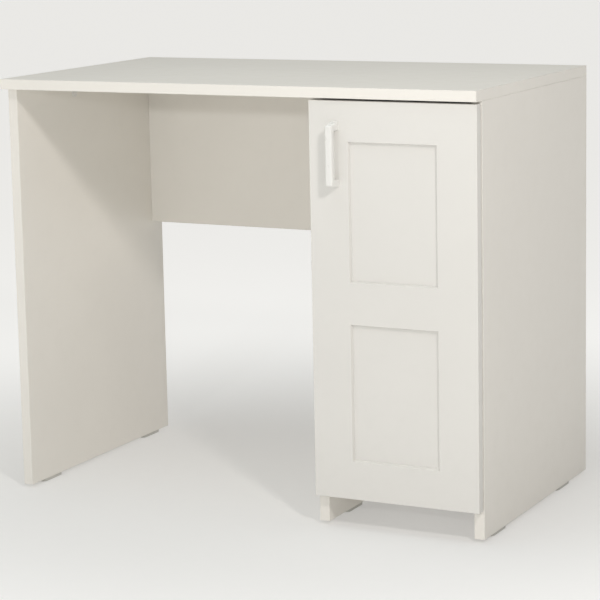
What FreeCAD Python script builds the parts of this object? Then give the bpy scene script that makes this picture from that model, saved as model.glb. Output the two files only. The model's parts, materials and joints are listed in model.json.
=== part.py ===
import FreeCAD, Part
import math
import os

# Small writing desk in foil-finished board: a worktop on three slab legs, a modesty panel behind the
# knee space, and a cupboard with one framed door under the right-hand end.
# Millimetres. While a piece is built, x runs from the worktop's left end, y from its front edge to the
# rear, and z up from the floor. write() then moves it, so that the origin is on the floor, under the
# centre of the whole desk, handle included.

# ---------------------------------------------------------------- driving dimensions
DESK_WIDTH = 900.0
WORKTOP_DEPTH = 510.0
BOARD = 18.0                   # worktop, legs, modesty panel and cupboard bottom
WORKTOP_UNDERSIDE = 725.0
GLIDE_HEIGHT = 6.0
LEG_SETBACK = 24.0             # worktop's front edge to the legs' front edge
EDGE_EASE = 0.6                # rounding of the banded board edges

CUPBOARD_LEFT = 600.0          # knee-side face of the cupboard's left leg
CUPBOARD_FLOOR_Z = 62.0        # underside of the cupboard's bottom board
BACK_THICKNESS = 3.0
BACK_Y = 485.0
BACK_GROOVE_DEPTH = 6.0
BACK_GROOVE_PLAY = 0.1
BACK_SIDE_PLAY = 0.5

MODESTY_FRONT_Y = 472.0
MODESTY_HEIGHT = 300.0

SHELF_THICKNESS = 16.0
SHELF_FRONT_Y = 44.0
SHELF_REAR_Y = 480.0
SHELF_SIDE_GAP = 1.0
SHELF_UNDERSIDES = {"shelf_lower": 283.0, "shelf_upper": 503.0}
PIN_ROWS_Y = (LEG_SETBACK + 37.0, 437.0)
PIN_HOLE_PITCH = 32.0
PIN_HOLE_STEPS = (-1, 0, 1)    # holes below, at and above each shelf pin
PIN_R = 2.5
PIN_HOLE_DEPTH = 9.0
PIN_STEM = 8.5
PIN_COLLAR_R = 4.1
PIN_COLLAR = 1.0
PIN_REST = 7.5                 # how far a pin reaches under its shelf

DOOR_THICKNESS = 16.0
DOOR_GAP = 2.0                 # door's rear face to the legs' front edges
DOOR_REVEAL = 1.5              # door's side edges inside the cupboard's outer faces
DOOR_BOTTOM = 54.5
DOOR_TOP = 721.0
STILE_WIDTH = 70.0
TOP_RAIL = 67.0
BOTTOM_RAIL = 65.0
MIDDLE_RAIL = 70.5
RECESS_DEPTH = 6.0             # face of the frame to the face of its panels
BEVEL_RUN = 2.0                # width of the sloping inner edge of the frame
RECESS_EASE = 0.7              # rounding where the face turns into that slope
RECESS_EASE_STEPS = 4
PANEL_THICKNESS = 4.0
PANEL_TONGUE = 8.0             # how far a panel runs into the frame's groove
PANEL_PLAY = 0.1
PANEL_END_PLAY = 0.5
PANEL_REAR_OPENING = 0.5       # the rear opening starts this far in front of the panel's face
DOOR_DOWEL_R = 3.0
DOOR_DOWEL_HALF = 16.0
DOOR_DOWEL_SHARES = (0.3, 0.7)
BUMPER_R = 4.0
BUMPER_HEIGHT = 1.6
BUMPER_ROUND = 0.8
BUMPER_END_DISTANCE = 14.0     # door's ends to the bumpers' centres

HANDLE_LENGTH = 99.0
HANDLE_BOTTOM = 583.5
HANDLE_WIDTH = 13.0
HANDLE_REACH = 26.0
HANDLE_BAR = 9.0               # thickness of the grip, front to back
HANDLE_FOOT = 9.0              # height of each foot at the grip
HANDLE_FLARE = 5.0             # how much taller each foot is at the door
HANDLE_X = 648.5
HANDLE_ROUND = 3.5
HANDLE_SCREW_R = 2.0
HANDLE_SCREW_IN = 10.0         # screw's reach into the handle
HANDLE_SCREW_HOLE_R = 2.3
HANDLE_SCREW_HEAD_R = 3.8
HANDLE_SCREW_HEAD = 2.2
HANDLE_SCREW_DOME = 1.2
CROSS_HALF_LENGTH = 2.2        # half of a cross recess, in the handle and arm screws
CROSS_HALF_WIDTH = 0.5
CROSS_DEPTH = 1.2

# Boards are joined by cams and bolts, with dowels beside them. A bolt stands in one board's face and
# its head lies in the cam, which is let into the other board near its end, under a push-in cover.
WORKTOP_CAMS_Y = (210.0, 338.0)
WORKTOP_DOWELS_Y = (96.0, 432.0)
MODESTY_CAM_HEIGHTS = (50.0, 220.0)     # above the modesty panel's lower edge
CUPBOARD_FLOOR_CAMS_Y = (90.0, 410.0)
CUPBOARD_FLOOR_DOWEL_Y = 250.0
HOLE_PLAY = 0.08               # radial room round pins, dowels and screws
HOLE_END_PLAY = 0.5
DOWEL_R = 4.0
DOWEL_LENGTH = 30.0
DOWEL_IN_FACE = 10.5
DOWEL_CHAMFER = 0.8
CAM_R = 7.5
CAM_DEPTH = 12.5               # depth of the cam's seat
CAM_LENGTH = 12.0
CAM_FLOOR_PLAY = 0.3
CAM_SETBACK = 24.0             # board's end to the cam's centre
CAM_CROSS = (9.0, 1.4, 3.0)    # length, width and depth of the screwdriver cross
BOLT_THREAD_R = 2.5
BOLT_THREAD = 11.0
BOLT_COLLAR_R = 3.5
BOLT_COLLAR = 2.0
BOLT_NECK_R = 2.1
BOLT_HEAD_R = 3.3
BOLT_TAPER = 2.0
BOLT_HEAD = 1.5
BOLT_CHANNEL_R = 4.0
BOLT_CHANNEL_PAST_CAM = 3.0
COVER_R = 8.6
COVER_THICKNESS = 1.2
COVER_ROUND = 0.7
COVER_RIB = (8.0, 1.1, 2.4)    # length, width and depth of the cross that holds in the cam

GLIDE_LENGTH = 60.0
GLIDE_WIDTH = 14.0
GLIDE_ROUND = 1.2
NAIL_SHARES = (0.25, 0.75)     # nails along each glide
NAIL_R = 1.0
NAIL_LENGTH = 14.0             # depth of a nail's hole in the leg
NAIL_POINT = 2.5
NAIL_END_PLAY = 0.5
NAIL_HEAD_R = 2.6
NAIL_HEAD = 1.0
NAIL_SINK = 2.0                # depth of the seat for its head
GLIDE_SPANS = {                # front end of each glide, one pair for each leg
    "left": (67.0, 421.0),
    "middle": (102.0, 421.0),
    "right": (66.0, 371.0),
}

# Concealed hinge, in its own axes: u from the right leg's inner face towards the right, v from the
# leg's front edge to the rear. The door turns on a link, and the link turns on the hinge arm.
HINGE_END_DISTANCE = 100.0     # door's ends to the hinges' centres
CUP_U = -6.0
CUP_R = 17.5
CUP_DEPTH = 11.5
CUP_WALL = 1.4
CUP_FLOOR = 1.0
CUP_FLANGE = 1.0
CUP_FLANGE_RIM = 0.3
CUP_SEAT_PLAY = 0.3
CUP_WING_HALF = 5.0            # half width of the flange's wings, past their screws
CUP_WING_ROUND = 4.0
CUP_SCREW_LENGTH = 11.0
CUP_SCREW_SPREAD = 22.5
CUP_SCREW_U = -15.5
CUP_PIN_HALF = 9.0
ARM_PIVOT = (-11.8, 2.5)
CUP_PIVOT = (7.5, -4.8)
HINGE_PIN_R = 1.2
HINGE_PIN_PLAY = 0.05
EYE_R = 2.3
LINK_HALF_WIDTH = 5.0
LINK_PLATE = 1.8
LINK_NECK = 4.5                # cup's pivot to the bend of the link
LINK_NECK_ANGLE = 235.0
LINK_BAY_PLAY = 0.3
LINK_BAY_INNER_PLAY = 0.6
SPRING_PATH = ((-17.0, -12.2), (-1.0, -12.2), (3.0, -10.6))    # leaf spring on the cup's floor
SPRING_LEAF = 0.5
SPRING_HALF_WIDTH = 3.5
SCREW_R = 1.7
SCREW_HEAD_R = 3.3
SCREW_HEAD = 1.6
SCREW_POINT = 2.0
SCREW_POINT_R = 0.3
SCREW_SOCKET = 1.2
SCREW_SOCKET_R = 1.5
PLATE_V = 37.0                 # leg's front edge to the mounting plate's screws
PLATE_HALF_WIDTH = 7.0
PLATE_SCREW_SPREAD = 16.0
PLATE_WING_END = 6.0
PLATE_WING = 2.5
PLATE_WING_ROUND = 5.0
PLATE_RIDGE = 6.0
PLATE_RIDGE_FRONT_V = 16.0
PLATE_BLOCK_FRONT_V = 30.0
PLATE_SCREW_LENGTH = 13.0
ARM_HALF_WIDTH = 8.0
ARM_SHEET = 1.2
ARM_REAR_V = 56.0
ARM_WEB_FRONT_V = 14.0
ARM_TOP_U = -14.2              # face of the arm that looks into the cupboard
ARM_NOSE_U = -15.6
ARM_NOSE_INNER_U = -8.0
ARM_RAMP = 8.0                 # pivot to the arm's full height, front to back
ARM_EYE_R = 3.8
ARM_PLATE_PLAY = 0.3
ARM_PIN_END = 0.6
ARM_SCREW_V = 45.0
ARM_SCREW_SHANK_R = 1.9
ARM_SCREW_SEAT_R = 2.0
ARM_SCREW_SLOT_R = 2.9
ARM_SCREW_LENGTH = 9.0
ARM_SCREW_HEAD_R = 3.6
ARM_SCREW_HEAD = 1.8
DOOR_OPENING = 95.0            # degrees that the door turns in all
LINK_SHARE = 0.40              # degrees that the link turns back, for each degree of the door

# ---------------------------------------------------------------- derived places
LEG_TOP = WORKTOP_UNDERSIDE
CUPBOARD_INSIDE_LEFT = CUPBOARD_LEFT + BOARD
CUPBOARD_INSIDE_RIGHT = DESK_WIDTH - BOARD
CUPBOARD_FLOOR_TOP = CUPBOARD_FLOOR_Z + BOARD
DOOR_REAR_Y = LEG_SETBACK - DOOR_GAP
DOOR_FRONT_Y = DOOR_REAR_Y - DOOR_THICKNESS
DOOR_LEFT = CUPBOARD_LEFT + DOOR_REVEAL
DOOR_RIGHT = DESK_WIDTH - DOOR_REVEAL
RECESS_LEFT = DOOR_LEFT + STILE_WIDTH
RECESS_RIGHT = DOOR_RIGHT - STILE_WIDTH
RECESS_HEIGHT = (DOOR_TOP - DOOR_BOTTOM - TOP_RAIL - MIDDLE_RAIL - BOTTOM_RAIL) / 2
LOWER_RECESS = (DOOR_BOTTOM + BOTTOM_RAIL, DOOR_BOTTOM + BOTTOM_RAIL + RECESS_HEIGHT)
UPPER_RECESS = (DOOR_TOP - TOP_RAIL - RECESS_HEIGHT, DOOR_TOP - TOP_RAIL)
PANEL_FACE_Y = DOOR_FRONT_Y + RECESS_DEPTH
HANDLE_FRONT_Y = DOOR_FRONT_Y - HANDLE_REACH
HANDLE_HOLES_Z = (HANDLE_BOTTOM + HANDLE_FOOT / 2, HANDLE_BOTTOM + HANDLE_LENGTH - HANDLE_FOOT / 2)
HINGE_HEIGHTS = (DOOR_BOTTOM + HINGE_END_DISTANCE, DOOR_TOP - HINGE_END_DISTANCE)
ORIGIN = FreeCAD.Vector(DESK_WIDTH / 2, (HANDLE_FRONT_Y + WORKTOP_DEPTH) / 2, 0)
LEG_LEFT_FACES = {"left": 0.0, "middle": CUPBOARD_LEFT, "right": CUPBOARD_INSIDE_RIGHT}
LEG_NAMES = {"left": "left_side_panel", "middle": "cabinet_left_panel", "right": "cabinet_right_panel"}
OUT = "parts"

X = FreeCAD.Vector(1, 0, 0)
Y = FreeCAD.Vector(0, 1, 0)
Z = FreeCAD.Vector(0, 0, 1)


# ---------------------------------------------------------------- small tools
def vec(x, y, z):
    return FreeCAD.Vector(x, y, z)


def box(x0, x1, y0, y1, z0, z1):
    return Part.makeBox(x1 - x0, y1 - y0, z1 - z0, vec(x0, y0, z0))


def rod(radius, start, direction, length):
    return Part.makeCylinder(radius, length, start, direction)


def eased_board(x0, x1, y0, y1, z0, z1, ease=EDGE_EASE):
    board = box(x0, x1, y0, y1, z0, z1)
    return board.makeFillet(ease, board.Edges)


def block(centre, along, across, up, length, width, height):
    """Box on three square directions: centred along two of them, and rising from centre along up."""
    corner = centre - along * (length / 2) - across * (width / 2)
    far = corner + along * length + across * width + up * height
    low = [min(a, b) for a, b in zip(corner, far)]
    high = [max(a, b) for a, b in zip(corner, far)]
    return box(low[0], high[0], low[1], high[1], low[2], high[2])


def prism(points, z0, z1):
    """Upright prism over a closed outline of (x, y) points."""
    corners = [vec(x, y, z0) for x, y in points]
    outline = Part.makePolygon(corners + corners[:1])
    return Part.Face(outline).extrude(vec(0, 0, z1 - z0))


def door_prism(points, y0, y1):
    """Prism through the door over a closed outline of (x, z) points."""
    corners = [vec(x, y0, z) for x, z in points]
    outline = Part.makePolygon(corners + corners[:1])
    return Part.Face(outline).extrude(vec(0, y1 - y0, 0))


def joined(shapes):
    """One solid from pieces that overlap or meet."""
    shape = shapes[0].multiFuse(shapes[1:]) if len(shapes) > 1 else shapes[0]
    return shape.removeSplitter()


def cut(shape, tools):
    return shape.cut(Part.makeCompound(tools)) if tools else shape


def write(name, shapes):
    """Writes one node: one or more separate solids, moved into the desk's own frame."""
    solids = [solid for shape in shapes for solid in shape.Solids]
    shape = solids[0] if len(solids) == 1 else Part.makeCompound(solids)
    shape = shape.copy()
    shape.translate(ORIGIN * -1)
    if not shape.isValid():
        raise ValueError(name + " is not a valid shape")
    shape.exportStep(os.path.join(OUT, name + ".step"))
    print(name, len(solids), "solids", round(shape.Volume / 1000, 2), "cm3")


# ---------------------------------------------------------------- joints between boards
def cam_bolt(point, into):
    """Bolt with its thread in one board's face and its head at the cam's centre in the other board."""
    return joined([
        rod(BOLT_THREAD_R, point - into * BOLT_THREAD, into, BOLT_THREAD),
        rod(BOLT_COLLAR_R, point, into, BOLT_COLLAR),
        rod(BOLT_NECK_R, point, into, CAM_SETBACK - BOLT_TAPER),
        Part.makeCone(BOLT_NECK_R, BOLT_HEAD_R, BOLT_TAPER, point + into * (CAM_SETBACK - BOLT_TAPER), into),
        rod(BOLT_HEAD_R, point + into * CAM_SETBACK, into, BOLT_HEAD),
    ])


def cross_arms(mouth, into, cam_side, size, depth_way):
    """The two arms of an upright cross at a cam's mouth."""
    length, width, depth = size
    across = into.cross(cam_side)
    return [block(mouth, into, across, depth_way, length, width, depth),
            block(mouth, across, into, depth_way, length, width, depth)]


def cam_lock(point, into, cam_side, mouth):
    """Round cam with a channel for the bolt and a screwdriver cross in its face."""
    seat = mouth - cam_side * (CAM_DEPTH - CAM_FLOOR_PLAY)
    channel = rod(BOLT_CHANNEL_R, point, into, CAM_SETBACK + BOLT_CHANNEL_PAST_CAM)
    body = rod(CAM_R - HOLE_PLAY, seat, cam_side, CAM_LENGTH)
    return cut(body, [channel] + cross_arms(mouth, into, cam_side, CAM_CROSS, cam_side * -1))


def cam_cover(into, cam_side, mouth):
    """Round cap over a cam, held by a cross of ribs in the cam's own cross."""
    disc = rod(COVER_R, mouth, cam_side, COVER_THICKNESS)
    rim = [edge for edge in disc.Edges
           if edge.Closed and (edge.CenterOfMass - mouth).dot(cam_side) > COVER_THICKNESS / 2]
    return joined([disc.makeFillet(COVER_ROUND, rim)]
                  + cross_arms(mouth, into, cam_side, COVER_RIB, cam_side * -1))


class Joinery:
    """Fittings and the holes that they need, gathered joint by joint."""

    def __init__(self):
        self.bolts = []
        self.cams = []
        self.covers = []
        self.dowels = []
        self.holes = {}

    def drill(self, board, tool):
        self.holes.setdefault(board, []).append(tool)

    def cam_joint(self, point, into, cam_side, face_board, end_board):
        """A cam, bolt and cover: point lies on the joint, into leads into the board whose end is drilled,
        and cam_side leads from its middle to the face that the cam is let into."""
        mouth = point + into * CAM_SETBACK + cam_side * (BOARD / 2)
        self.bolts.append(cam_bolt(point, into))
        self.cams.append(cam_lock(point, into, cam_side, mouth))
        self.covers.append(cam_cover(into, cam_side, mouth))
        thread_hole = BOLT_THREAD + HOLE_END_PLAY
        self.drill(face_board, rod(BOLT_THREAD_R + HOLE_PLAY, point - into * thread_hole, into, thread_hole))
        self.drill(end_board, rod(BOLT_CHANNEL_R, point, into, CAM_SETBACK))
        self.drill(end_board, rod(CAM_R, mouth, cam_side * -1, CAM_DEPTH))

    def dowel_joint(self, point, into, face_board, end_board):
        start = point - into * DOWEL_IN_FACE
        pin = rod(DOWEL_R, start, into, DOWEL_LENGTH)
        self.dowels.append(pin.makeChamfer(DOWEL_CHAMFER, [edge for edge in pin.Edges if edge.Closed]))
        hole = rod(DOWEL_R + HOLE_PLAY, start - into * HOLE_END_PLAY, into, DOWEL_LENGTH + HOLE_END_PLAY * 2)
        self.drill(face_board, hole)
        self.drill(end_board, hole)


def join_boards():
    """Every cam, bolt, cover and dowel, with the holes for each board."""
    joinery = Joinery()
    down = Z * -1
    cam_faces = {"left": X, "middle": X, "right": X * -1}
    for leg, face_x in LEG_LEFT_FACES.items():
        middle = face_x + BOARD / 2
        for y in WORKTOP_CAMS_Y:
            point = vec(middle, y, WORKTOP_UNDERSIDE)
            joinery.cam_joint(point, down, cam_faces[leg], "worktop", LEG_NAMES[leg])
        for y in WORKTOP_DOWELS_Y:
            joinery.dowel_joint(vec(middle, y, WORKTOP_UNDERSIDE), down, "worktop", LEG_NAMES[leg])

    modesty_y = MODESTY_FRONT_Y + BOARD / 2
    modesty_bottom = WORKTOP_UNDERSIDE - MODESTY_HEIGHT
    for x, into, board in ((BOARD, X, "left_side_panel"), (CUPBOARD_LEFT, X * -1, "cabinet_left_panel")):
        for height in MODESTY_CAM_HEIGHTS:
            joinery.cam_joint(vec(x, modesty_y, modesty_bottom + height), into, Y, board, "modesty_panel")
        point = vec(x, modesty_y, modesty_bottom + MODESTY_HEIGHT / 2)
        joinery.dowel_joint(point, into, board, "modesty_panel")

    floor_z = CUPBOARD_FLOOR_Z + BOARD / 2
    for x, into, board in (
        (CUPBOARD_INSIDE_LEFT, X, "cabinet_left_panel"),
        (CUPBOARD_INSIDE_RIGHT, X * -1, "cabinet_right_panel"),
    ):
        for y in CUPBOARD_FLOOR_CAMS_Y:
            joinery.cam_joint(vec(x, y, floor_z), into, down, board, "cabinet_bottom")
        joinery.dowel_joint(vec(x, CUPBOARD_FLOOR_DOWEL_Y, floor_z), into, board, "cabinet_bottom")
    return joinery


# ---------------------------------------------------------------- boards
def shelf_pin_holes(face_x, inward):
    """Two rows of three shelf holes for each shelf, in one side of the cupboard."""
    tools = []
    for underside in SHELF_UNDERSIDES.values():
        for step in PIN_HOLE_STEPS:
            for y in PIN_ROWS_Y:
                centre = vec(face_x, y, underside - PIN_R + step * PIN_HOLE_PITCH)
                tools.append(rod(PIN_R + HOLE_PLAY, centre, inward * -1, PIN_HOLE_DEPTH))
    return tools


def back_groove(face_x, inward):
    """Groove for the cupboard's back, from just above the bottom board's underside to the worktop."""
    x0, x1 = sorted((face_x, face_x - inward.x * BACK_GROOVE_DEPTH))
    return box(x0, x1, BACK_Y - BACK_GROOVE_PLAY, BACK_Y + BACK_THICKNESS + BACK_GROOVE_PLAY,
               CUPBOARD_FLOOR_Z, LEG_TOP)


def glide_nail_places(leg):
    """Centre line and nail places of the two glides under a leg."""
    middle = LEG_LEFT_FACES[leg] + BOARD / 2
    for front in GLIDE_SPANS[leg]:
        yield middle, front, [front + GLIDE_LENGTH * share for share in NAIL_SHARES]


def make_boards(joinery):
    worktop = eased_board(0, DESK_WIDTH, 0, WORKTOP_DEPTH, WORKTOP_UNDERSIDE, WORKTOP_UNDERSIDE + BOARD)
    write("worktop", [cut(worktop, joinery.holes["worktop"])])

    for leg, name in LEG_NAMES.items():
        face_x = LEG_LEFT_FACES[leg]
        panel = eased_board(face_x, face_x + BOARD, LEG_SETBACK, WORKTOP_DEPTH, GLIDE_HEIGHT, LEG_TOP)
        tools = list(joinery.holes[name])
        if leg == "middle":
            tools += shelf_pin_holes(CUPBOARD_INSIDE_LEFT, X) + [back_groove(CUPBOARD_INSIDE_LEFT, X)]
        if leg == "right":
            tools += shelf_pin_holes(CUPBOARD_INSIDE_RIGHT, X * -1)
            tools += [back_groove(CUPBOARD_INSIDE_RIGHT, X * -1)] + plate_screw_holes()
        for middle, _, nails in glide_nail_places(leg):
            tools += [rod(NAIL_R + HOLE_PLAY, vec(middle, y, GLIDE_HEIGHT), Z, NAIL_LENGTH) for y in nails]
        write(name, [cut(panel, tools)])

    modesty = eased_board(BOARD, CUPBOARD_LEFT, MODESTY_FRONT_Y, MODESTY_FRONT_Y + BOARD,
                          WORKTOP_UNDERSIDE - MODESTY_HEIGHT, WORKTOP_UNDERSIDE)
    write("modesty_panel", [cut(modesty, joinery.holes["modesty_panel"])])

    bottom = eased_board(CUPBOARD_INSIDE_LEFT, CUPBOARD_INSIDE_RIGHT, LEG_SETBACK, BACK_Y,
                         CUPBOARD_FLOOR_Z, CUPBOARD_FLOOR_TOP)
    write("cabinet_bottom", [cut(bottom, joinery.holes["cabinet_bottom"])])

    back_reach = BACK_GROOVE_DEPTH - BACK_SIDE_PLAY
    write("cabinet_back", [box(CUPBOARD_INSIDE_LEFT - back_reach, CUPBOARD_INSIDE_RIGHT + back_reach,
                               BACK_Y, BACK_Y + BACK_THICKNESS, CUPBOARD_FLOOR_Z, WORKTOP_UNDERSIDE)])

    shelf_left = CUPBOARD_INSIDE_LEFT + SHELF_SIDE_GAP
    shelf_right = CUPBOARD_INSIDE_RIGHT - SHELF_SIDE_GAP
    for name, underside in SHELF_UNDERSIDES.items():
        write(name, [eased_board(shelf_left, shelf_right, SHELF_FRONT_Y, SHELF_REAR_Y,
                                 underside, underside + SHELF_THICKNESS)])


def shelf_pin(centre, inward):
    """Pin in the cupboard's side: its collar is cut off flat under the shelf that it carries."""
    collar = rod(PIN_COLLAR_R, centre, inward, PIN_COLLAR)
    below = block(centre + Z * PIN_R, X, Y, Z * -1, PIN_REST * 3, PIN_COLLAR_R * 3, PIN_R * 4)
    return joined([
        rod(PIN_R, centre - inward * PIN_STEM, inward, PIN_STEM),
        collar.common(below),
        rod(PIN_R, centre, inward, PIN_REST),
    ])


def make_shelf_pins():
    pins = []
    for underside in SHELF_UNDERSIDES.values():
        for y in PIN_ROWS_Y:
            for face_x, inward in ((CUPBOARD_INSIDE_LEFT, X), (CUPBOARD_INSIDE_RIGHT, X * -1)):
                pins.append(shelf_pin(vec(face_x, y, underside - PIN_R), inward))
    write("shelf_pins", pins)


# ---------------------------------------------------------------- feet
def glide_nail(middle, y):
    """Nail through a glide into the leg."""
    point_z = GLIDE_HEIGHT + NAIL_LENGTH - NAIL_POINT - NAIL_END_PLAY
    return joined([
        rod(NAIL_HEAD_R, vec(middle, y, NAIL_SINK - NAIL_HEAD), Z, NAIL_HEAD),
        rod(NAIL_R, vec(middle, y, NAIL_SINK), Z, point_z - NAIL_SINK),
        Part.makeCone(NAIL_R, NAIL_R / 5, NAIL_POINT, vec(middle, y, point_z), Z),
    ])


def glide_strip(middle, front, nail_ys):
    """Strip with round ends and a rounded lower rim, with seats for its nail heads."""
    half = GLIDE_WIDTH / 2
    rear = front + GLIDE_LENGTH
    body = joined([
        box(middle - half, middle + half, front + half, rear - half, 0, GLIDE_HEIGHT),
        rod(half, vec(middle, front + half, 0), Z, GLIDE_HEIGHT),
        rod(half, vec(middle, rear - half, 0), Z, GLIDE_HEIGHT),
    ])
    rim = [edge for edge in body.Edges if edge.BoundBox.ZMax < GLIDE_HEIGHT / 4]
    tools = []
    for y in nail_ys:
        tools.append(rod(NAIL_HEAD_R + HOLE_PLAY, vec(middle, y, 0), Z, NAIL_SINK))
        tools.append(rod(NAIL_R + HOLE_PLAY, vec(middle, y, 0), Z, GLIDE_HEIGHT))
    return cut(body.makeFillet(GLIDE_ROUND, rim), tools)


def make_glides():
    """Two nail-on strips under each leg."""
    glides = []
    nails = []
    for leg in LEG_LEFT_FACES:
        for middle, front, nail_ys in glide_nail_places(leg):
            glides.append(glide_strip(middle, front, nail_ys))
            nails += [glide_nail(middle, y) for y in nail_ys]
    write("floor_glides", glides)
    write("glide_nails", nails)


# ---------------------------------------------------------------- door
def recess_tool(bottom, top):
    """One recess in the door's face: a rounded lip, then sloping sides down to the panel."""
    def ring(inset, depth):
        corners = [(RECESS_LEFT + inset, bottom + inset), (RECESS_RIGHT - inset, bottom + inset),
                   (RECESS_RIGHT - inset, top - inset), (RECESS_LEFT + inset, top - inset)]
        points = [vec(x, DOOR_FRONT_Y + depth, z) for x, z in corners]
        return Part.makePolygon(points + points[:1])
    slope = math.atan2(RECESS_DEPTH, BEVEL_RUN)
    lip = RECESS_EASE * math.tan(slope / 2)
    rings = []
    for step in range(RECESS_EASE_STEPS + 1):
        turn = slope * step / RECESS_EASE_STEPS
        rings.append(ring(RECESS_EASE * math.sin(turn) - lip, RECESS_EASE * (1 - math.cos(turn))))
    return Part.makeLoft(rings + [ring(BEVEL_RUN, RECESS_DEPTH)], True, True)


def panel_box(bottom, top, margin, y0, y1):
    """Block over a recess floor, larger by margin all round."""
    reach = BEVEL_RUN - margin
    return box(RECESS_LEFT + reach, RECESS_RIGHT - reach, y0, y1, bottom + reach, top - reach)


def stile_outline(outer, inner, inward):
    """A stile seen from the front: its slab, and the slope beside each recess, mitred at its ends."""
    points = [(outer, DOOR_BOTTOM), (inner, DOOR_BOTTOM)]
    for bottom, top in (LOWER_RECESS, UPPER_RECESS):
        slope = inner + inward * BEVEL_RUN
        points += [(inner, bottom), (slope, bottom + BEVEL_RUN), (slope, top - BEVEL_RUN), (inner, top)]
    return points + [(inner, DOOR_TOP), (outer, DOOR_TOP)]


def door_dowel_places():
    """Two dowels in each end of each rail: x of the joint, direction into the rail, and z."""
    rails = ((DOOR_BOTTOM, LOWER_RECESS[0]), (LOWER_RECESS[1], UPPER_RECESS[0]), (UPPER_RECESS[1], DOOR_TOP))
    for bottom, top in rails:
        for share in DOOR_DOWEL_SHARES:
            for x, into in ((RECESS_LEFT, X), (RECESS_RIGHT, X * -1)):
                yield x, into, bottom + (top - bottom) * share


def hinge_point(u, v, z):
    return vec(CUPBOARD_INSIDE_RIGHT + u, LEG_SETBACK + v, z)


def door_frame():
    """The door's stiles and rails as one solid, with its recesses and the grooves for the panels."""
    frame = box(DOOR_LEFT, DOOR_RIGHT, DOOR_FRONT_Y, DOOR_REAR_Y, DOOR_BOTTOM, DOOR_TOP)
    frame = frame.makeFillet(EDGE_EASE, frame.Edges)
    groove = (PANEL_FACE_Y - PANEL_PLAY, PANEL_FACE_Y + PANEL_THICKNESS + PANEL_PLAY)
    tools = []
    for bottom, top in (LOWER_RECESS, UPPER_RECESS):
        tools.append(recess_tool(bottom, top))
        tools.append(panel_box(bottom, top, 0, PANEL_FACE_Y - PANEL_REAR_OPENING, DOOR_REAR_Y + 1))
        tools.append(panel_box(bottom, top, PANEL_TONGUE + PANEL_PLAY, groove[0], groove[1]))
    return cut(frame, tools)


def door_fitting_holes():
    """Holes for the handle's screws, and seats for the hinge cups and their screws."""
    tools = []
    for z in HANDLE_HOLES_Z:
        tools.append(rod(HANDLE_SCREW_HOLE_R, vec(HANDLE_X, DOOR_FRONT_Y - 1, z), Y, DOOR_THICKNESS + 2))
    for z in HINGE_HEIGHTS:
        rear = hinge_point(CUP_U, -DOOR_GAP, z)
        tools.append(rod(CUP_R + HOLE_PLAY, rear, Y * -1, CUP_DEPTH + CUP_SEAT_PLAY))
        for place in cup_screw_places(z):
            tools.append(rod(SCREW_R + HOLE_PLAY, place, Y * -1, CUP_SCREW_LENGTH + HOLE_END_PLAY))
            tools.append(countersink(place + Y * CUP_FLANGE, Y * -1))
    return tools


def make_door():
    middle_y = (DOOR_FRONT_Y + DOOR_REAR_Y) / 2
    tools = door_fitting_holes()
    dowels = []
    length = DOOR_DOWEL_HALF * 2
    for x, into, z in door_dowel_places():
        start = vec(x, middle_y, z) - into * DOOR_DOWEL_HALF
        hole_start = start - into * HOLE_END_PLAY
        dowels.append(rod(DOOR_DOWEL_R, start, into, length))
        tools.append(rod(DOOR_DOWEL_R + HOLE_PLAY, hole_start, into, length + HOLE_END_PLAY * 2))
    frame = cut(door_frame(), tools)

    left = door_prism(stile_outline(DOOR_LEFT - 1, RECESS_LEFT, 1), DOOR_FRONT_Y - 1, DOOR_REAR_Y + 1)
    right = door_prism(stile_outline(DOOR_RIGHT + 1, RECESS_RIGHT, -1), DOOR_FRONT_Y - 1, DOOR_REAR_Y + 1)
    write("door_stile_left", [frame.common(left)])
    write("door_stile_right", [frame.common(right)])
    rails = frame.cut(left).cut(right)
    names = ("door_bottom_rail", "door_middle_rail", "door_top_rail")
    for name, solid in zip(names, sorted(rails.Solids, key=lambda rail: rail.CenterOfMass.z)):
        write(name, [solid])
    write("door_dowels", dowels)
    for name, (bottom, top) in (("door_panel_lower", LOWER_RECESS), ("door_panel_upper", UPPER_RECESS)):
        tongue = PANEL_TONGUE - PANEL_END_PLAY
        write(name, [panel_box(bottom, top, tongue, PANEL_FACE_Y, PANEL_FACE_Y + PANEL_THICKNESS)])


def make_bumpers():
    """Soft dots on the door's rear face that meet the leg's front edge."""
    bumpers = []
    for z in (DOOR_BOTTOM + BUMPER_END_DISTANCE, DOOR_TOP - BUMPER_END_DISTANCE):
        dot = rod(BUMPER_R, vec(CUPBOARD_LEFT + BOARD / 2, DOOR_REAR_Y, z), Y, BUMPER_HEIGHT)
        rim = [edge for edge in dot.Edges if edge.BoundBox.YMin > DOOR_REAR_Y + BUMPER_HEIGHT / 2]
        bumpers.append(dot.makeFillet(BUMPER_ROUND, rim))
    write("door_bumpers", bumpers)


# ---------------------------------------------------------------- handle
def driver_cross(face, outward):
    """Cross recess in a screw head whose face is centred at face."""
    along = Z
    across = outward.cross(Z)
    size = (CROSS_HALF_LENGTH * 2, CROSS_HALF_WIDTH * 2, CROSS_DEPTH)
    return [block(face, along, across, outward * -1, size[0], size[1], size[2]),
            block(face, across, along, outward * -1, size[0], size[1], size[2])]


def handle_screw(z):
    rear = vec(HANDLE_X, DOOR_REAR_Y, z)
    shank = rod(HANDLE_SCREW_R, rear, Y * -1, DOOR_THICKNESS + HANDLE_SCREW_IN)
    head = rod(HANDLE_SCREW_HEAD_R, rear, Y, HANDLE_SCREW_HEAD)
    rim = [edge for edge in head.Edges
           if edge.Closed and edge.BoundBox.YMin > DOOR_REAR_Y + HANDLE_SCREW_HEAD / 2]
    head = head.makeFillet(HANDLE_SCREW_DOME, rim)
    return cut(joined([shank, head]), driver_cross(rear + Y * HANDLE_SCREW_HEAD, Y))


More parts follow.
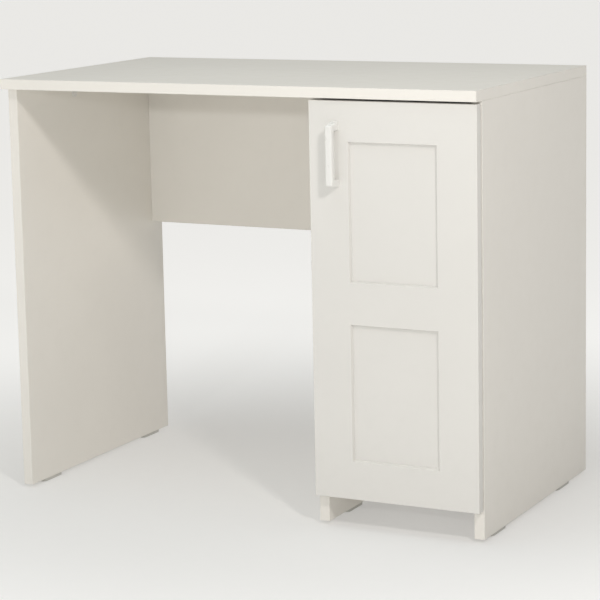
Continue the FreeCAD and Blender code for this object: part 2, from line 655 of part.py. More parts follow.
def make_handle():
    """Bridge handle: a round-cornered bar on two feet that widen towards the door, screwed from behind it."""
    left = HANDLE_X - HANDLE_WIDTH / 2
    right = HANDLE_X + HANDLE_WIDTH / 2
    top = HANDLE_BOTTOM + HANDLE_LENGTH
    bar_rear = HANDLE_FRONT_Y + HANDLE_BAR
    corners = [vec(left, HANDLE_FRONT_Y, HANDLE_BOTTOM),
               vec(left, HANDLE_FRONT_Y, top),
               vec(left, DOOR_FRONT_Y, top + HANDLE_FLARE),
               vec(left, DOOR_FRONT_Y, HANDLE_BOTTOM - HANDLE_FLARE)]
    outline = Part.makePolygon(corners + corners[:1])
    grip = Part.Face(outline).extrude(vec(HANDLE_WIDTH, 0, 0))
    outer = [edge for edge in grip.Edges if edge.BoundBox.YMin < HANDLE_FRONT_Y + EDGE_EASE]
    grip = grip.makeFillet(HANDLE_ROUND, outer)
    gap = box(left - 1, right + 1, bar_rear, DOOR_FRONT_Y + 1, HANDLE_BOTTOM + HANDLE_FOOT, top - HANDLE_FOOT)
    inner = [edge for edge in gap.Edges
             if edge.BoundBox.YMax < bar_rear + EDGE_EASE and edge.BoundBox.XLength > HANDLE_WIDTH]
    tools = [gap.makeFillet(HANDLE_ROUND, inner)]
    hole_r = HANDLE_SCREW_R + HOLE_PLAY
    for z in HANDLE_HOLES_Z:
        tools.append(rod(hole_r, vec(HANDLE_X, DOOR_FRONT_Y, z), Y * -1, HANDLE_SCREW_IN + 1))
    write("handle", [cut(grip, tools)])
    write("handle_screws", [handle_screw(z) for z in HANDLE_HOLES_Z])


# ---------------------------------------------------------------- hinges
def hinge_box(u0, u1, v0, v1, z0, z1):
    low = hinge_point(u0, v0, z0)
    high = hinge_point(u1, v1, z1)
    return box(low.x, high.x, low.y, high.y, low.z, high.z)


def hinge_prism(outline, z0, z1):
    """Upright prism over a closed outline in the hinge's plane."""
    return prism([(CUPBOARD_INSIDE_RIGHT + u, LEG_SETBACK + v) for u, v in outline], z0, z1)


def cup_screw_places(z):
    """Points on the door's rear face where the screws of one cup go in."""
    return [hinge_point(CUP_SCREW_U, -DOOR_GAP, z + side * CUP_SCREW_SPREAD) for side in (-1, 1)]


def plate_screw_places():
    return [hinge_point(0, PLATE_V, z + side * PLATE_SCREW_SPREAD) for z in HINGE_HEIGHTS for side in (-1, 1)]


def plate_screw_holes():
    depth = PLATE_SCREW_LENGTH + HOLE_END_PLAY
    return [rod(SCREW_R + HOLE_PLAY, place, X, depth) for place in plate_screw_places()]


def countersunk_screw(face, outward, length):
    """Cross-headed screw: face is the centre of its head, outward the way it looks."""
    shank_length = length - SCREW_POINT - SCREW_HEAD / 2
    socket = Part.makeCone(SCREW_R / 5, SCREW_SOCKET_R, SCREW_SOCKET, face - outward * SCREW_SOCKET, outward)
    return joined([
        Part.makeCone(SCREW_R, SCREW_HEAD_R, SCREW_HEAD, face - outward * SCREW_HEAD, outward),
        rod(SCREW_R, face - outward * (length - SCREW_POINT), outward, shank_length),
        Part.makeCone(SCREW_POINT_R, SCREW_R, SCREW_POINT, face - outward * length, outward),
    ]).cut(socket)


def countersink(face, inward):
    """Seat for a countersunk screw head whose top is at face."""
    return Part.makeCone(SCREW_HEAD_R + HOLE_PLAY, SCREW_R + HOLE_PLAY, SCREW_HEAD, face, inward)


def eye(pivot, radius, z0, z1):
    return rod(radius, hinge_point(pivot[0], pivot[1], z0), Z, z1 - z0)


def pin_bore(pivot, z):
    """Bore for a hinge pin, longer than anything that it goes through."""
    reach = ARM_HALF_WIDTH * 1.5
    return eye(pivot, HINGE_PIN_R + HINGE_PIN_PLAY, z - reach, z + reach)


def strip(a, b, thickness, z0, z1):
    """Flat bar between two points of the hinge's plane, of the given thickness."""
    length = math.hypot(b[0] - a[0], b[1] - a[1])
    nu = -(b[1] - a[1]) / length * thickness / 2
    nv = (b[0] - a[0]) / length * thickness / 2
    corners = [(a[0] + nu, a[1] + nv), (b[0] + nu, b[1] + nv), (b[0] - nu, b[1] - nv), (a[0] - nu, a[1] - nv)]
    return hinge_prism(corners, z0, z1)


def hinge_link(z):
    """Goose-necked link: from the arm's pivot, down into the cup, and up to the cup's pivot."""
    z0 = z - LINK_HALF_WIDTH
    z1 = z + LINK_HALF_WIDTH
    angle = math.radians(LINK_NECK_ANGLE)
    neck = (CUP_PIVOT[0] + LINK_NECK * math.cos(angle), CUP_PIVOT[1] + LINK_NECK * math.sin(angle))
    solid = joined([
        eye(ARM_PIVOT, EYE_R, z0, z1),
        eye(CUP_PIVOT, EYE_R, z0, z1),
        eye(neck, LINK_PLATE / 2, z0, z1),
        strip(ARM_PIVOT, neck, LINK_PLATE, z0, z1),
        strip(neck, CUP_PIVOT, LINK_PLATE, z0, z1),
    ])
    return cut(solid, [pin_bore(ARM_PIVOT, z), pin_bore(CUP_PIVOT, z)])


def cup_pocket(z):
    """Space inside a cup: its round hollow, and the narrow bay where the link's eye turns."""
    bay_left = CUP_PIVOT[0] - EYE_R - LINK_BAY_INNER_PLAY
    bay_right = CUP_PIVOT[0] + EYE_R + LINK_BAY_PLAY
    bay_half = LINK_HALF_WIDTH + LINK_BAY_PLAY
    floor_v = -DOOR_GAP - CUP_DEPTH + CUP_FLOOR
    over_v = CUP_FLANGE * 2
    hollow = rod(CUP_R - CUP_WALL, hinge_point(CUP_U, over_v, z), Y * -1, over_v - floor_v)
    side = hinge_box(CUP_U - CUP_R, bay_left, floor_v - 1, over_v + 1, z - CUP_R, z + CUP_R)
    bay = hinge_box(bay_left - 1, bay_right, floor_v, over_v, z - bay_half, z + bay_half)
    return [hollow.common(side), bay]


def hinge_cup(z):
    """Pressed cup with its flange and two screwed wings."""
    rear = hinge_point(CUP_U, -DOOR_GAP, z)
    wing_z = CUP_SCREW_SPREAD + CUP_WING_HALF
    wings = hinge_box(CUP_SCREW_U - CUP_WING_HALF, CUP_SCREW_U + CUP_WING_HALF,
                      -DOOR_GAP, -DOOR_GAP + CUP_FLANGE, z - wing_z, z + wing_z)
    corners = [edge for edge in wings.Edges if edge.BoundBox.YLength > CUP_FLANGE / 2]
    tools = cup_pocket(z) + [pin_bore(CUP_PIVOT, z)]
    for place in cup_screw_places(z):
        tools.append(rod(SCREW_R + HOLE_PLAY, place - Y, Y, CUP_FLANGE + 2))
        tools.append(countersink(place + Y * CUP_FLANGE, Y * -1))
    return cut(joined([
        rod(CUP_R, rear, Y * -1, CUP_DEPTH),
        rod(CUP_R + CUP_FLANGE_RIM, rear, Y, CUP_FLANGE),
        wings.makeFillet(CUP_WING_ROUND, corners),
    ]), tools)


def hinge_spring(z):
    """Leaf spring on the cup's floor, turned up under the link, that holds the door shut."""
    z0 = z - SPRING_HALF_WIDTH
    z1 = z + SPRING_HALF_WIDTH
    first, bend, last = SPRING_PATH
    return joined([
        strip(first, bend, SPRING_LEAF, z0, z1),
        eye(bend, SPRING_LEAF / 2, z0, z1),
        strip(bend, last, SPRING_LEAF, z0, z1),
    ])


def hinge_arm(z):
    """Folded arm over the mounting plate, with two cheeks that carry the link's pivot pin."""
    back_u = -(PLATE_RIDGE + 1)
    front_v = ARM_PIVOT[1]
    outline = [(ARM_NOSE_U, front_v), (ARM_NOSE_INNER_U, front_v), (back_u, front_v + ARM_RAMP),
               (back_u, ARM_REAR_V), (ARM_TOP_U, ARM_REAR_V), (ARM_TOP_U, ARM_WEB_FRONT_V)]
    pieces = [hinge_box(ARM_TOP_U, ARM_TOP_U + ARM_SHEET, ARM_WEB_FRONT_V, ARM_REAR_V,
                        z - ARM_HALF_WIDTH, z + ARM_HALF_WIDTH)]
    for side in (-1, 1):
        z0, z1 = sorted((z + side * ARM_HALF_WIDTH, z + side * (ARM_HALF_WIDTH - ARM_SHEET)))
        pieces += [hinge_prism(outline, z0, z1), eye(ARM_PIVOT, ARM_EYE_R, z0, z1)]
    slot = rod(ARM_SCREW_SLOT_R, hinge_point(ARM_TOP_U - 1, ARM_SCREW_V, z), X, ARM_SHEET + 2)
    return cut(joined(pieces), [pin_bore(ARM_PIVOT, z), slot])


def mounting_plate(z):
    """Cross-shaped plate on the leg: two wings for its screws and a ridge under the arm."""
    wing_z = PLATE_SCREW_SPREAD + PLATE_WING_END
    wings = hinge_box(-PLATE_WING, 0, PLATE_V - PLATE_HALF_WIDTH, PLATE_V + PLATE_HALF_WIDTH,
                      z - wing_z, z + wing_z)
    corners = [edge for edge in wings.Edges if edge.BoundBox.XLength > PLATE_WING / 2]
    half = ARM_HALF_WIDTH - ARM_SHEET - ARM_PLATE_PLAY
    rear_v = ARM_REAR_V - 1
    ridge = hinge_box(-PLATE_RIDGE, 0, PLATE_RIDGE_FRONT_V, rear_v, z - half, z + half)
    riser = hinge_box(ARM_TOP_U + ARM_SHEET, -PLATE_RIDGE, PLATE_BLOCK_FRONT_V, rear_v, z - half, z + half)
    tools = [rod(ARM_SCREW_SEAT_R, hinge_point(ARM_TOP_U, ARM_SCREW_V, z), X, ARM_SCREW_LENGTH + 1)]
    for side in (-1, 1):
        place = hinge_point(-PLATE_WING, PLATE_V, z + side * PLATE_SCREW_SPREAD)
        tools.append(rod(SCREW_R + HOLE_PLAY, place, X, PLATE_WING))
        tools.append(countersink(place, X))
    return cut(joined([wings.makeFillet(PLATE_WING_ROUND, corners), ridge, riser]), tools)


def arm_screw(z):
    """Clamp screw that holds the arm down on its plate."""
    seat = hinge_point(ARM_TOP_U, ARM_SCREW_V, z)
    face = seat - X * ARM_SCREW_HEAD
    head = rod(ARM_SCREW_HEAD_R, face, X, ARM_SCREW_HEAD)
    shank = rod(ARM_SCREW_SHANK_R, seat, X, ARM_SCREW_LENGTH)
    return cut(joined([head, shank]), driver_cross(face, X * -1))


def hinge_pin(pivot, z, half):
    return eye(pivot, HINGE_PIN_R, z - half, z + half)


def cup_screws(z):
    return [countersunk_screw(place + Y * CUP_FLANGE, Y, CUP_SCREW_LENGTH) for place in cup_screw_places(z)]


def make_hinges():
    arm_pin_half = ARM_HALF_WIDTH + ARM_PIN_END
    write("hinge_cups", [hinge_cup(z) for z in HINGE_HEIGHTS])
    write("hinge_springs", [hinge_spring(z) for z in HINGE_HEIGHTS])
    write("hinge_arms", [hinge_arm(z) for z in HINGE_HEIGHTS])
    write("hinge_links", [hinge_link(z) for z in HINGE_HEIGHTS])
    write("hinge_arm_pins", [hinge_pin(ARM_PIVOT, z, arm_pin_half) for z in HINGE_HEIGHTS])
    write("hinge_cup_pins", [hinge_pin(CUP_PIVOT, z, CUP_PIN_HALF) for z in HINGE_HEIGHTS])
    write("hinge_cup_screws", [screw for z in HINGE_HEIGHTS for screw in cup_screws(z)])
    write("hinge_plates", [mounting_plate(z) for z in HINGE_HEIGHTS])
    write("hinge_arm_screws", [arm_screw(z) for z in HINGE_HEIGHTS])
    length = PLATE_SCREW_LENGTH + PLATE_WING - HOLE_END_PLAY
    write("hinge_plate_screws", [countersunk_screw(place - X * PLATE_WING, X * -1, length)
                                 for place in plate_screw_places()])


# ---------------------------------------------------------------- the whole desk
def report_places():
    """Prints the places that the joints and mounts are stated at."""
    for label, pivot in (("link on arm", ARM_PIVOT), ("door on link", CUP_PIVOT)):
        print(label, tuple(round(value, 4) for value in hinge_point(pivot[0], pivot[1], 0) - ORIGIN))
    print("door joint range", DOOR_OPENING * (1 + LINK_SHARE), "link ratio", -LINK_SHARE / (1 + LINK_SHARE))
    print("origin", tuple(ORIGIN))


def main():
    os.makedirs(OUT, exist_ok=True)
    joinery = join_boards()
    make_boards(joinery)
    write("cam_locks", joinery.cams)
    write("cam_bolts", joinery.bolts)
    write("cam_covers", joinery.covers)
    write("wooden_dowels", joinery.dowels)
    make_shelf_pins()
    make_glides()
    make_door()
    make_bumpers()
    make_handle()
    make_hinges()
    report_places()


main()
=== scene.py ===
import json
import math

import bpy
from mathutils import Matrix, Vector


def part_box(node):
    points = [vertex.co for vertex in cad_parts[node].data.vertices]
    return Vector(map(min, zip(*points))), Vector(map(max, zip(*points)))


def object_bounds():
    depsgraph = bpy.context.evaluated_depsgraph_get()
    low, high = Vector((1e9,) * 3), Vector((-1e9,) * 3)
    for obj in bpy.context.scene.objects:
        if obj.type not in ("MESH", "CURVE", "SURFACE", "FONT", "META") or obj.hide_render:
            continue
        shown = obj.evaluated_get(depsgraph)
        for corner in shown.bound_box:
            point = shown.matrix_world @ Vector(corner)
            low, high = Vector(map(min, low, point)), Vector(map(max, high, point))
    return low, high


# The looks of a small off-white writing desk: its camera, light, floor and the finish of every part.
# Metres, in the CAD model's own frame: +X to the right, +Y to the back, +Z up.

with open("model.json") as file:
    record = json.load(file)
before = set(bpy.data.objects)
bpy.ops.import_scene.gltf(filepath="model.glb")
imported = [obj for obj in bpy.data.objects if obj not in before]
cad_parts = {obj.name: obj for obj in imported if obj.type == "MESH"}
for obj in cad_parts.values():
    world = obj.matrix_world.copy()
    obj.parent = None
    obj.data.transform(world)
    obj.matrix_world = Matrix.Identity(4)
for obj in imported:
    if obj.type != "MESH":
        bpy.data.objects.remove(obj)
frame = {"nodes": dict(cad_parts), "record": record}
cad_low, cad_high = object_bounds()

# ---------------------------------------------------------------- named values
CAMERA_PLACE = (1.7820, -3.4607, 1.0609)
CAMERA_AZIMUTH = 27.142        # degrees to the right of straight in front
CAMERA_ELEVATION = 9.612       # degrees above the horizon
CAMERA_ROLL = 1.150
CAMERA_SENSOR = 36.0           # mm
CAMERA_LENS = 132.88           # mm
CAMERA_SHIFT_Y = -0.06
CAMERA_SIGHT = 200.0           # how far the camera sees

FLOOR_HALF = 40.0
FLOOR_COLOUR = (0.60, 0.597, 0.588)
FLOOR_GRAIN = 40.0             # features per metre
FLOOR_GRAIN_HEIGHT = 0.0001
FLOOR_ROUGHNESS = 0.85
FLOOR_GLOW_COLOUR = (1.0, 0.995, 0.985)
FLOOR_GLOW = 0.26              # under the desk and close around it, kept low there as a painted soft shadow of the desk
FLOOR_FAR_GLOW = 0.54
FLOOR_GLOW_RISE = (0.35, 1.5)  # distances from the middle of the floor over which the glow grows

WORLD_COLOUR = (1.0, 0.982, 0.925)
WORLD_STRENGTH = 0.52
WORLD_RIGHT_SHADE = 0.70       # how much dimmer the studio is on its right-hand side
WORLD_SHADE_RISE = (0.0, 0.9)  # how far to the right a ray points where that shade begins and is full

# Each light: the direction it shines in, its distance from the middle of the desk, its width, its watts
# and its colour.
LIGHTS = {
    "key": ((-1.02, 1.0, -0.93), 2.9, 0.26, 21.0, (1.0, 0.965, 0.94)),
    "fill": ((-0.08, 1.0, -0.27), 3.5, 0.09, 9.5, (0.985, 0.995, 1.0)),
    "front": ((-0.48, 1.0, -0.27), 3.5, 0.09, 7.0, (0.985, 0.995, 1.0)),
    "top": ((0.0, 0.3, -1.0), 2.2, 1.6, 11.0, (0.84, 0.95, 1.0)),
}

MM = 0.001


# ---------------------------------------------------------------- node helpers
class Nodes:
    """The nodes of one material, with a short way to add and join each kind."""

    def __init__(self, name):
        self.material = bpy.data.materials.new(name)
        self.material.use_nodes = True
        self.tree = self.material.node_tree
        self.tree.nodes.clear()
        self.shader = self.add("ShaderNodeBsdfPrincipled")
        output = self.add("ShaderNodeOutputMaterial")
        self.join(self.shader.outputs["BSDF"], output.inputs["Surface"])
        self.place = self.add("ShaderNodeTexCoord").outputs["Object"]

    def add(self, kind, **settings):
        node = self.tree.nodes.new(kind)
        for key, value in settings.items():
            setattr(node, key, value)
        return node

    def join(self, source, target):
        self.tree.links.new(source, target)

    def feed(self, target, value):
        """Gives an input a link, if value is an output, or else a constant."""
        if isinstance(value, bpy.types.NodeSocket):
            self.join(value, target)
        else:
            target.default_value = value

    def math(self, operation, a, b):
        node = self.add("ShaderNodeMath", operation=operation)
        self.feed(node.inputs[0], a)
        self.feed(node.inputs[1], b)
        return node.outputs[0]

    def stretched(self, scale):
        """Object coordinates scaled along each axis: a small scale draws a pattern out along that axis."""
        node = self.add("ShaderNodeMapping")
        node.inputs["Scale"].default_value = scale
        self.join(self.place, node.inputs["Vector"])
        return node.outputs["Vector"]

    def noise(self, scale, detail=3.0, roughness=0.55, vector=None, distortion=0.0):
        """Noise between 0 and 1, with about scale features per metre."""
        node = self.add("ShaderNodeTexNoise")
        node.inputs["Scale"].default_value = scale
        node.inputs["Detail"].default_value = detail
        node.inputs["Roughness"].default_value = roughness
        node.inputs["Distortion"].default_value = distortion
        self.join(vector or self.place, node.inputs["Vector"])
        return node.outputs["Fac"]

    def span(self, value, low, high, to_low=0.0, to_high=1.0):
        """Goes smoothly from to_low to to_high while value goes from low to high."""
        node = self.add("ShaderNodeMapRange", interpolation_type="SMOOTHSTEP")
        self.feed(node.inputs["Value"], value)
        for key, number in (("From Min", low), ("From Max", high), ("To Min", to_low), ("To Max", to_high)):
            node.inputs[key].default_value = number
        return node.outputs["Result"]

    def mix(self, amount, a, b):
        """Colour that goes from a to b as amount goes from 0 to 1."""
        node = self.add("ShaderNodeMix", data_type="RGBA")
        self.feed(node.inputs[0], amount)
        self.feed(node.inputs[6], a)
        self.feed(node.inputs[7], b)
        return node.outputs[2]

    def bump(self, height, distance, strength, below=None):
        """Relief of the given distance, in metres, laid over the relief below."""
        node = self.add("ShaderNodeBump")
        node.inputs["Strength"].default_value = strength
        node.inputs["Distance"].default_value = distance
        self.join(height, node.inputs["Height"])
        if below is not None:
            self.join(below, node.inputs["Normal"])
        return node.outputs["Normal"]

    def finish(self, colour, roughness, normal, **constants):
        """Sets the shader's inputs, and any others by name, with _ for a space. Returns the material."""
        self.feed(self.shader.inputs["Base Color"], colour)
        self.feed(self.shader.inputs["Roughness"], roughness)
        self.join(normal, self.shader.inputs["Normal"])
        for key, value in constants.items():
            self.shader.inputs[key.replace("_", " ")].default_value = value
        return self.material


def shade(colour, factor):
    """The colour made lighter or darker by a factor, with full opacity."""
    return tuple(min(1.0, channel * factor) for channel in colour) + (1.0,)


def edge_depth(n, low, high):
    """Depth from a board's nearest edge: the middle one of the distances to its three pairs of faces."""
    split = n.add("ShaderNodeSeparateXYZ")
    n.join(n.place, split.inputs[0])
    gaps = []
    for axis in range(3):
        value = split.outputs[axis]
        from_low = n.math("SUBTRACT", value, low[axis])
        from_high = n.math("SUBTRACT", high[axis], value)
        gaps.append(n.math("MINIMUM", from_low, from_high))
    smaller = n.math("MINIMUM", gaps[0], gaps[1])
    larger = n.math("MAXIMUM", gaps[0], gaps[1])
    return n.math("MAXIMUM", smaller, n.math("MINIMUM", larger, gaps[2]))


# ---------------------------------------------------------------- finishes
FOIL = (0.835, 0.806, 0.752)
DOOR_FOIL = (0.745, 0.728, 0.694)
HARDBOARD = (0.790, 0.775, 0.735)
LACQUER = (0.800, 0.792, 0.765)
NICKEL = (0.62, 0.60, 0.56)
ZINC = (0.60, 0.61, 0.62)
BEECH = (0.62, 0.43, 0.25)
GLIDE = (0.60, 0.59, 0.55)
BUMPER = (0.72, 0.72, 0.69)
COVER = (0.83, 0.82, 0.79)

# Patterns, in features per metre, the height of each relief, and the scale along each axis of patterns
# that are drawn out: the smaller the scale, the longer the pattern's features.
FOIL_DRIFT = 3.1
FOIL_CLOUD = 38.0
FOIL_PORES = 2600.0
FOIL_PEEL = 420.0
FOIL_PEEL_HEIGHT = 0.030 * MM
FOIL_PORE_HEIGHT = 0.012 * MM
FIBRE = 900.0
FIBRE_DRAW = (1.0, 1.0, 0.35)
FIBRE_CLOUD = 6.0
FIBRE_MESH = 620.0
FIBRE_HEIGHT = 0.06 * MM
FIBRE_MESH_HEIGHT = 0.04 * MM
LACQUER_PEEL = 520.0
LACQUER_CLOUD = 24.0
LACQUER_PEEL_HEIGHT = 0.01 * MM
METAL_LINES = 1800.0
METAL_DRAWN = (1.0, 1.0, 0.1)
METAL_EVEN = (1.0, 1.0, 1.0)
METAL_PATCH = 160.0
METAL_LINE_HEIGHT = 0.02 * MM
BEECH_GRAIN = 300.0
BEECH_GRAIN_DRAW = (1.0, 1.0, 0.12)
BEECH_FLECK = 1500.0
BEECH_FLECK_DRAW = (1.0, 1.0, 0.2)
BEECH_GRAIN_HEIGHT = 0.08 * MM
PLASTIC_GRAIN = 1600.0
PLASTIC_SCUFF = 90.0
PLASTIC_SCUFF_DRAW = (1.0, 0.2, 1.0)
PLASTIC_GRAIN_HEIGHT = 0.05 * MM

# Depths from a board's edge: the line of the edge band, and how far the edge is rubbed.
BAND_LINE_START = 0.80 * MM
BAND_LINE_DARK = (0.92 * MM, 0.98 * MM)
BAND_LINE_END = 1.10 * MM
BAND_LINE_DEPTH = 0.30         # how strongly the line shows on a board
BAND_LINE_SHADE = 0.62
RUB_FULL = 0.15 * MM
RUB_END = 0.75 * MM
RUB_DEPTH = 0.45
RUB_SHADE = 0.88


def foil(node, colour, low, high, line_depth):
    """Satin foil over a board: fine pores, slow colour drift, edge-band lines and rubbed edges.

    low and high are the corners of the board, or of the whole door where one foil covers all its parts.
    """
    n = Nodes("foil_" + node)
    drift = n.noise(FOIL_DRIFT, detail=2.0)
    cloud = n.noise(FOIL_CLOUD, detail=4.0, roughness=0.6)
    pores = n.noise(FOIL_PORES, detail=2.0, roughness=0.6)
    peel = n.noise(FOIL_PEEL, roughness=0.5)
    tone = n.mix(n.span(drift, 0.35, 0.65), shade(colour, 0.985), shade(colour, 1.01))
    tone = n.mix(n.span(cloud, 0.45, 0.75, 0.0, 0.35), tone, shade(colour, 0.97))
    tone = n.mix(n.span(pores, 0.62, 0.80, 0.0, 0.22), tone, shade(colour, 0.86))
    depth = edge_depth(n, low, high)
    line_in = n.span(depth, BAND_LINE_START, BAND_LINE_DARK[0])
    line_out = n.span(depth, BAND_LINE_DARK[1], BAND_LINE_END, 1.0, 0.0)
    line = n.math("MULTIPLY", line_in, line_out)
    tone = n.mix(n.math("MULTIPLY", line, line_depth), tone, shade(colour, BAND_LINE_SHADE))
    rub = n.math("MULTIPLY", n.span(depth, RUB_FULL, RUB_END, 1.0, 0.0), n.span(cloud, 0.48, 0.70))
    tone = n.mix(n.math("MULTIPLY", rub, RUB_DEPTH), tone, shade(colour, RUB_SHADE))
    rough = n.math("ADD", n.span(cloud, 0.3, 0.75, 0.36, 0.46), n.span(pores, 0.5, 0.8, 0.0, 0.06))
    normal = n.bump(peel, FOIL_PEEL_HEIGHT, 0.55)
    normal = n.bump(pores, FOIL_PORE_HEIGHT, 0.6, normal)
    return n.finish(tone, rough, normal, IOR=1.48)


def board_foil(node):
    """Foil of a board with its own edge band."""
    low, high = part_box(node)
    return foil(node, FOIL, low, high, BAND_LINE_DEPTH)


def door_foil(node):
    """The one foil over the whole door, without edge-band lines."""
    low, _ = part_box("door_stile_left")
    _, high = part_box("door_stile_right")
    return foil(node, DOOR_FOIL, low, high, 0.0)


def hardboard(node, colour):
    """Lacquered hardboard: matt, with the faint mesh print of pressed fibre."""
    n = Nodes("hardboard_" + node)
    fibre = n.noise(FIBRE, detail=4.0, roughness=0.7, vector=n.stretched(FIBRE_DRAW))
    cloud = n.noise(FIBRE_CLOUD)
    mesh = n.add("ShaderNodeTexVoronoi", feature="F1")
    mesh.inputs["Scale"].default_value = FIBRE_MESH
    n.join(n.place, mesh.inputs["Vector"])
    tone = n.mix(n.span(cloud, 0.3, 0.7), shade(colour, 0.985), shade(colour, 1.008))
    tone = n.mix(n.span(fibre, 0.5, 0.75, 0.0, 0.3), tone, shade(colour, 0.88))
    rough = n.span(fibre, 0.3, 0.8, 0.55, 0.72)
    normal = n.bump(fibre, FIBRE_HEIGHT, 0.6)
    normal = n.bump(mesh.outputs["Distance"], FIBRE_MESH_HEIGHT, 0.4, normal)
    return n.finish(tone, rough, normal)


def lacquer(node, colour):
    """Semi-gloss coat over cast metal, with a slight orange peel."""
    n = Nodes("lacquer_" + node)
    peel = n.noise(LACQUER_PEEL, detail=2.0, roughness=0.5)
    cloud = n.noise(LACQUER_CLOUD)
    tone = n.mix(n.span(cloud, 0.3, 0.7), shade(colour, 0.992), shade(colour, 1.004))
    rough = n.span(cloud, 0.3, 0.75, 0.27, 0.32)
    normal = n.bump(peel, LACQUER_PEEL_HEIGHT, 0.4)
    return n.finish(tone, rough, normal, Coat_Weight=0.25, Coat_Roughness=0.18)


def plated(node, colour, roughness, draw):
    """Plated or galvanised steel: fine lines, drawn out or even, and dull darker patches."""
    n = Nodes("plated_" + node)
    lines = n.noise(METAL_LINES, roughness=0.6, vector=n.stretched(draw))
    patch = n.noise(METAL_PATCH, detail=4.0, roughness=0.6)
    tone = n.mix(n.span(patch, 0.35, 0.7), shade(colour, 0.82), shade(colour, 1.06))
    dull = n.span(patch, 0.3, 0.7, roughness, roughness + 0.12)
    rough = n.math("ADD", dull, n.span(lines, 0.3, 0.7, 0.0, 0.08))
    normal = n.bump(lines, METAL_LINE_HEIGHT, 0.5)
    return n.finish(tone, rough, normal, Metallic=1.0)


def beech(node, colour):
    """Raw beech: long grain with short dark flecks."""
    n = Nodes("beech_" + node)
    along = n.stretched(BEECH_GRAIN_DRAW)
    grain = n.noise(BEECH_GRAIN, detail=5.0, roughness=0.65, vector=along, distortion=0.6)
    fleck = n.noise(BEECH_FLECK, detail=2.0, roughness=0.5, vector=n.stretched(BEECH_FLECK_DRAW))
    tone = n.mix(n.span(grain, 0.3, 0.7), shade(colour, 0.78), shade(colour, 1.12))
    tone = n.mix(n.span(fleck, 0.62, 0.72, 0.0, 0.5), tone, shade(colour, 0.5))
    rough = n.span(grain, 0.3, 0.7, 0.55, 0.75)
    normal = n.bump(grain, BEECH_GRAIN_HEIGHT, 0.7)
    return n.finish(tone, rough, normal)


def plastic(node, colour, roughness, clear=0.0):
    """Moulded plastic with a spark-eroded grain and scuffs."""
    n = Nodes("plastic_" + node)
    grain = n.noise(PLASTIC_GRAIN, roughness=0.6)
    scuff = n.noise(PLASTIC_SCUFF, detail=5.0, roughness=0.7, vector=n.stretched(PLASTIC_SCUFF_DRAW))
    tone = n.mix(n.span(scuff, 0.45, 0.7), shade(colour, 0.9), shade(colour, 1.15))
    dull = n.span(scuff, 0.4, 0.7, roughness, roughness + 0.12)
    rough = n.math("ADD", dull, n.span(grain, 0.4, 0.7, 0.0, 0.06))
    normal = n.bump(grain, PLASTIC_GRAIN_HEIGHT, 0.6)
    return n.finish(tone, rough, normal, Transmission_Weight=clear, IOR=1.47)


FINISHES = {
    "white_foil_board": board_foil,
    "door_foil": door_foil,
    "white_hardboard": lambda node: hardboard(node, HARDBOARD),
    "white_lacquer": lambda node: lacquer(node, LACQUER),
    "nickel_steel": lambda node: plated(node, NICKEL, roughness=0.22, draw=METAL_DRAWN),
    "zinc_fitting": lambda node: plated(node, ZINC, roughness=0.34, draw=METAL_EVEN),
    "beech_dowel": lambda node: beech(node, BEECH),
    "glide_plastic": lambda node: plastic(node, GLIDE, roughness=0.50),
    "white_plastic": lambda node: plastic(node, COVER, roughness=0.38),
    "clear_bumper": lambda node: plastic(node, BUMPER, roughness=0.25, clear=0.6),
}


def finish_cad_parts():
    """Gives every CAD node the finish of its material slot."""
    for subpart in frame["record"]["subparts"]:
        node, slot = subpart["node"], subpart["material_slot"]
        piece = frame["nodes"][node]
        material = FINISHES[slot](node)
        for material_slot in piece.material_slots:
            material_slot.material = material
        if not piece.material_slots:
            piece.data.materials.append(material)


# ---------------------------------------------------------------- studio
def make_floor():
    """Pale floor that glows more, further from the desk: its dimmer glow under and near the desk is a
    painted soft shadow.
    """
    turns = ((-1, -1), (1, -1), (1, 1), (-1, 1))
    corners = [(x * FLOOR_HALF, y * FLOOR_HALF, cad_low.z) for x, y in turns]
    mesh = bpy.data.meshes.new("floor")
    mesh.from_pydata(corners, [], [(0, 1, 2, 3)])
    floor = bpy.data.objects.new("floor", mesh)
    bpy.context.collection.objects.link(floor)
    n = Nodes("studio_floor")
    grain = n.noise(FLOOR_GRAIN)
    tone = n.mix(grain, shade(FLOOR_COLOUR, 0.99), shade(FLOOR_COLOUR, 1.01))
    material = n.finish(tone, FLOOR_ROUGHNESS, n.bump(grain, FLOOR_GRAIN_HEIGHT, 0.2))
    # The glow is lowest near the floor's middle, under and around the desk: a painted soft shadow.
    reach = n.add("ShaderNodeVectorMath", operation="LENGTH")
    n.join(n.place, reach.inputs[0])
    glow = n.span(reach.outputs["Value"], *FLOOR_GLOW_RISE, FLOOR_GLOW, FLOOR_FAR_GLOW)
    n.shader.inputs["Emission Color"].default_value = FLOOR_GLOW_COLOUR + (1.0,)
    n.join(glow, n.shader.inputs["Emission Strength"])
    mesh.materials.append(material)


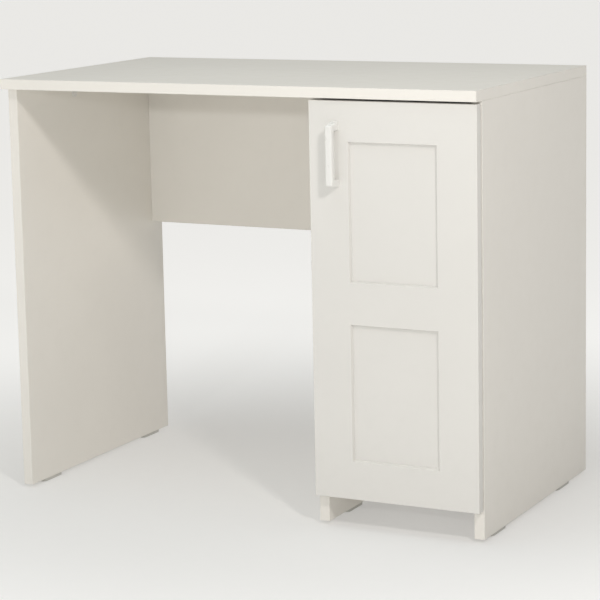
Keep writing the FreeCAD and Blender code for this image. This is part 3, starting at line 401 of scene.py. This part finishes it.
def make_world():
    """Even studio light from all round, dimmer from the right."""
    world = bpy.data.worlds.new("studio")
    world.use_nodes = True
    background = world.node_tree.nodes["Background"]
    background.inputs["Color"].default_value = WORLD_COLOUR + (1.0,)
    nodes, links = world.node_tree.nodes, world.node_tree.links
    split = nodes.new("ShaderNodeSeparateXYZ")
    links.new(nodes.new("ShaderNodeTexCoord").outputs["Generated"], split.inputs[0])
    side = nodes.new("ShaderNodeMapRange")
    side.interpolation_type = "SMOOTHSTEP"
    side.inputs["From Min"].default_value = WORLD_SHADE_RISE[0]
    side.inputs["From Max"].default_value = WORLD_SHADE_RISE[1]
    side.inputs["To Min"].default_value = WORLD_STRENGTH
    side.inputs["To Max"].default_value = WORLD_STRENGTH * (1.0 - WORLD_RIGHT_SHADE)
    links.new(split.outputs["X"], side.inputs["Value"])
    links.new(side.outputs["Result"], background.inputs["Strength"])
    bpy.context.scene.world = world


def area_light(name, direction, distance, size, power, colour):
    """Round light that shines along direction at the middle of the desk."""
    light = bpy.data.lights.new(name, "AREA")
    light.shape = "DISK"
    light.size = size
    light.energy = power
    light.color = colour
    lamp = bpy.data.objects.new(name, light)
    aim = Vector(direction).normalized()
    middle = (cad_low + cad_high) / 2
    lamp.location = middle - aim * distance
    lamp.rotation_euler = aim.to_track_quat("-Z", "Y").to_euler()
    bpy.context.collection.objects.link(lamp)


def make_lights():
    for name, (direction, distance, size, power, colour) in LIGHTS.items():
        area_light(name, direction, distance, size, power, colour)


def make_camera():
    """Camera that looks down at the desk from the front right."""
    camera = bpy.data.cameras.new("camera")
    camera.lens = CAMERA_LENS
    camera.sensor_width = CAMERA_SENSOR
    camera.shift_y = CAMERA_SHIFT_Y
    camera.clip_end = CAMERA_SIGHT
    holder = bpy.data.objects.new("camera", camera)
    azimuth = math.radians(CAMERA_AZIMUTH)
    elevation = math.radians(CAMERA_ELEVATION)
    back = Vector((math.sin(azimuth) * math.cos(elevation), -math.cos(azimuth) * math.cos(elevation),
                   math.sin(elevation)))
    level = (-back).to_track_quat("-Z", "Y").to_matrix()
    turn = level @ Matrix.Rotation(math.radians(-CAMERA_ROLL), 3, "Z")
    holder.matrix_world = Matrix.Translation(CAMERA_PLACE) @ turn.to_4x4()
    bpy.context.collection.objects.link(holder)
    bpy.context.scene.camera = holder


finish_cad_parts()
make_floor()
make_world()
make_lights()
make_camera()
bpy.context.scene.view_settings.view_transform = "Standard"
